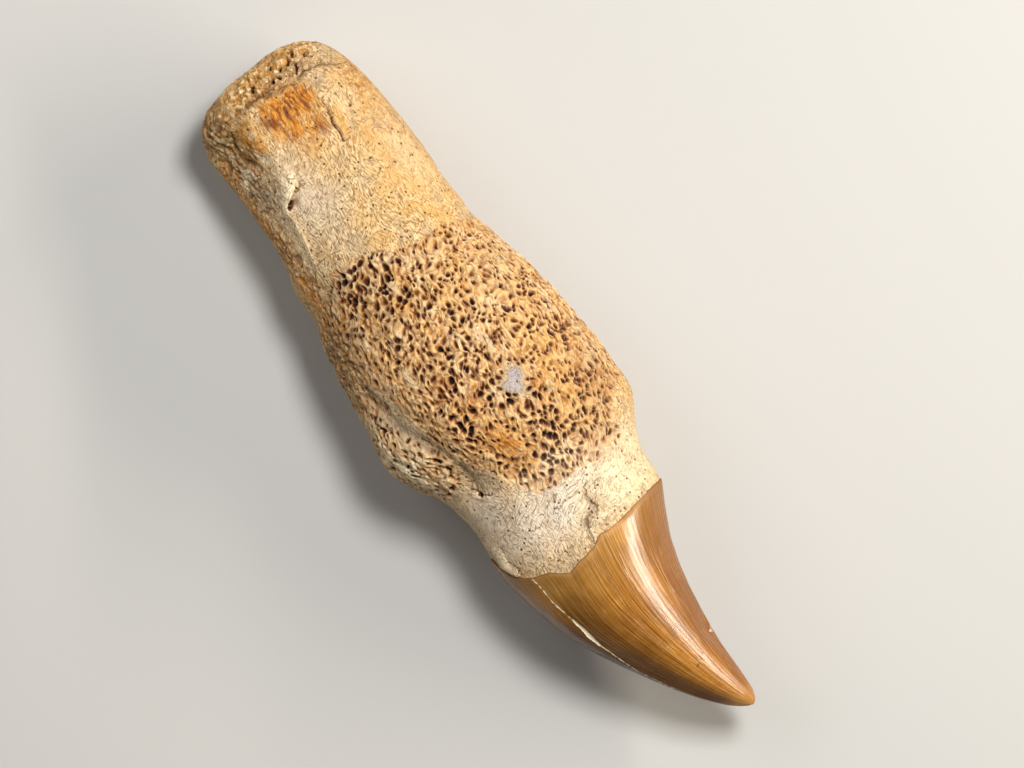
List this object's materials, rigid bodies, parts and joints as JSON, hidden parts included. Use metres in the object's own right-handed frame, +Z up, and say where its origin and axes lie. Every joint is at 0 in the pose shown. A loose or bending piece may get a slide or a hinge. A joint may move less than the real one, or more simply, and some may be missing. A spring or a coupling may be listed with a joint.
{
  "type": "fossil mosasaur tooth on bone",
  "caption": "Curved brown enamelled reptile tooth on its barrel of pale spongy fossil jaw bone, lying on its side on a flat rest face.",
  "frame": {"origin": "bottom centre of the bounding box, on the surface that the fossil lies on", "axes": "+X from the broken butt of the bone to the tip of the crown, +Z up, away from the rest face"},
  "size_m": [0.13, 0.0396, 0.0312],
  "materials": {
    "enamel": "polished fossil tooth enamel, glossy, finely ridged along its length",
    "bone": "matt mineralised bone, porous on the barrel, with rust stains"
  },
  "bodies": {
    "root": {"tooth_crown": "enamel", "root_bone": "bone"}
  },
  "joints": []
}
